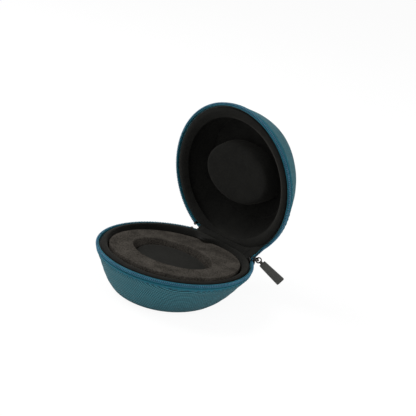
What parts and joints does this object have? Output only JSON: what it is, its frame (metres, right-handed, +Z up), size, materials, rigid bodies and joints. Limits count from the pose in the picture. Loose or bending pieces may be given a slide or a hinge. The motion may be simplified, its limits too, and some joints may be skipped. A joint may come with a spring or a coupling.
{
  "type": "earphone zip case",
  "caption": "Round hard-shell zip case for earphones: two domed cloth-covered halves on a cloth hinge, pile lining with oval bosses, loose foam ring, coil zip and puller.",
  "frame": {"origin": "on the table, straight below the centre of the round rim, inside the flat oval that the base stands on", "axes": "+X along the hinge towards the parked slider, +Y to the rear, from the bowl to the hinge, +Z up"},
  "size_m": [0.1172, 0.1374, 0.1409],
  "materials": {
    "outer_cloth": "ribbed woven polyester, matt",
    "shell_foam": "pressed EVA foam sheet",
    "lining_pile": "short brushed pile",
    "zip_tape": "woven polyester tape",
    "zip_coil": "nylon coil",
    "thread": "sewing thread",
    "ring_foam": "open-cell foam",
    "zip_metal": "dark nickel-plated zinc",
    "puller_rubber": "moulded soft plastic, cross-hatched"
  },
  "bodies": {
    "base": {"base_fabric": "outer_cloth", "base_shell": "shell_foam", "base_lining": "lining_pile", "base_boss_core": "shell_foam", "base_zip_tape": "zip_tape", "base_zip_coil": "zip_coil", "base_rim_stitches": "thread", "base_top_stop": "zip_metal", "bottom_stop": "zip_metal", "foam_ring": "ring_foam", "hinge_spine": "outer_cloth", "hinge_gusset": "lining_pile", "base_spine_stitches": "thread"},
    "lid": {"lid_fabric": "outer_cloth", "lid_shell": "shell_foam", "lid_lining": "lining_pile", "lid_zip_tape": "zip_tape", "lid_zip_coil": "zip_coil", "lid_rim_stitches": "thread", "lid_top_stop": "zip_metal", "lid_spine_stitches": "thread"},
    "slider": {"slider_body": "zip_metal", "slider_bail": "zip_metal"},
    "puller": {"puller_link": "zip_metal", "puller_grip": "puller_rubber"}
  },
  "joints": [
    {"name": "lid_hinge", "type": "hinge", "parent": "base", "child": "lid", "pos_m": [0, 0.051, 0.0318], "axis": [1, 0, 0], "range_deg": [-37, 82.8], "deforming": ["hinge_spine", "hinge_gusset"]},
    {"name": "slider_run", "type": "hinge", "parent": "base", "child": "slider", "pos_m": [0, 0, 0.0318], "axis": [0, 0, 1], "range_deg": [-284, 0]},
    {"name": "puller_swing", "type": "hinge", "parent": "slider", "child": "puller", "pos_m": [0.03829, 0.04984, 0.0318], "axis": [-0.793, 0.6092, 0], "range_deg": [-45, 48]}
  ]
}
